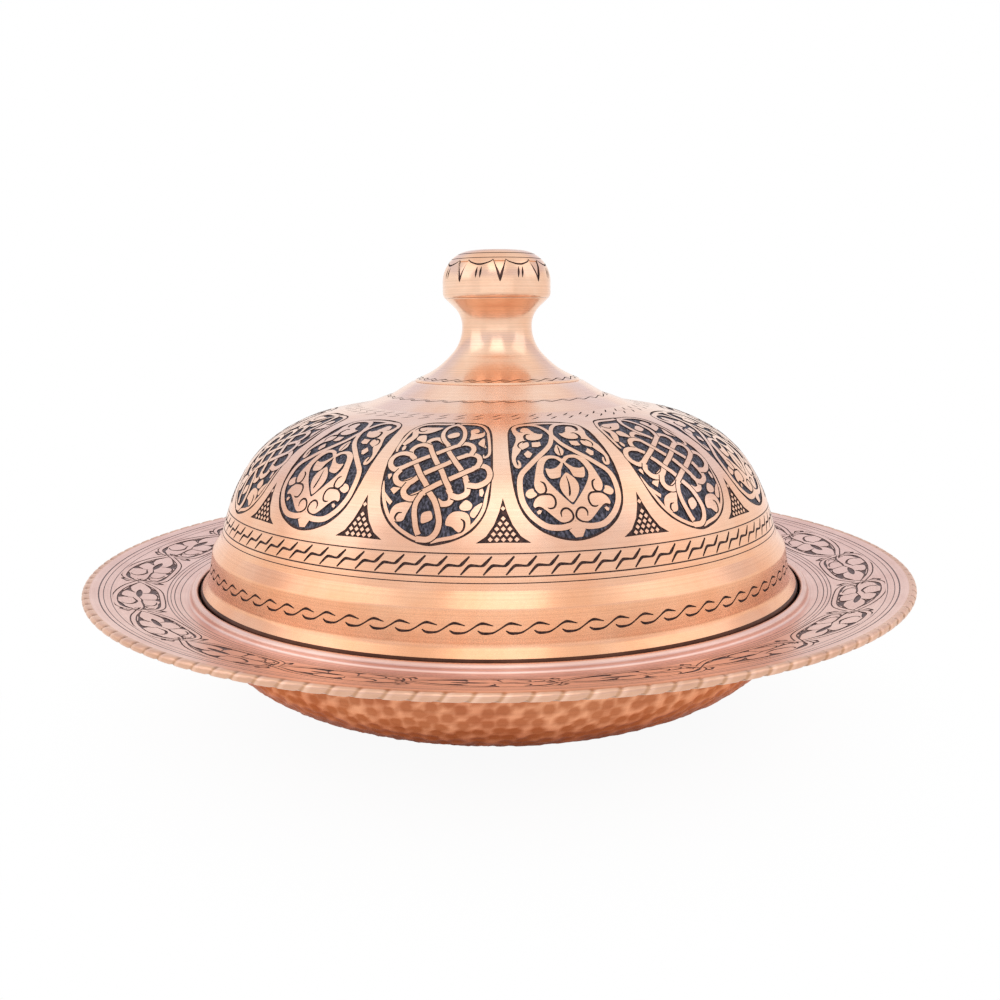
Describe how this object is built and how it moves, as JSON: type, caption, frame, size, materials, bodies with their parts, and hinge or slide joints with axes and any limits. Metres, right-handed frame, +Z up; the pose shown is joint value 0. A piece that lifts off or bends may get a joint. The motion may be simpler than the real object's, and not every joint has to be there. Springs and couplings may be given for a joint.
{
  "type": "lidded dish",
  "caption": "Round copper dish with a broad climbing rim and a hammered bowl, covered by a domed, engraved lid that seats inside the rim and lifts by a waisted knob.",
  "frame": {"origin": "centre of the face that the dish stands on", "axes": "+Z up along the axis of dish, lid and knob; -Y towards the camera of the picture"},
  "size_m": [0.28, 0.28, 0.1556],
  "materials": {
    "dish_copper": "polished copper, hammered below the rim",
    "lid_copper": "polished, engraved copper",
    "knob_copper": "polished copper",
    "braze": "as brazed"
  },
  "bodies": {
    "dish": {"dish_body": "dish_copper"},
    "lid": {"lid_dome": "lid_copper", "knob_stem": "knob_copper", "knob_cap": "knob_copper", "stem_braze": "braze", "cap_braze": "braze"}
  },
  "joints": [
    {"name": "lid_lift", "type": "slide", "parent": "dish", "child": "lid", "axis": [0, 0, 1], "range_m": [0, 0.16]}
  ]
}
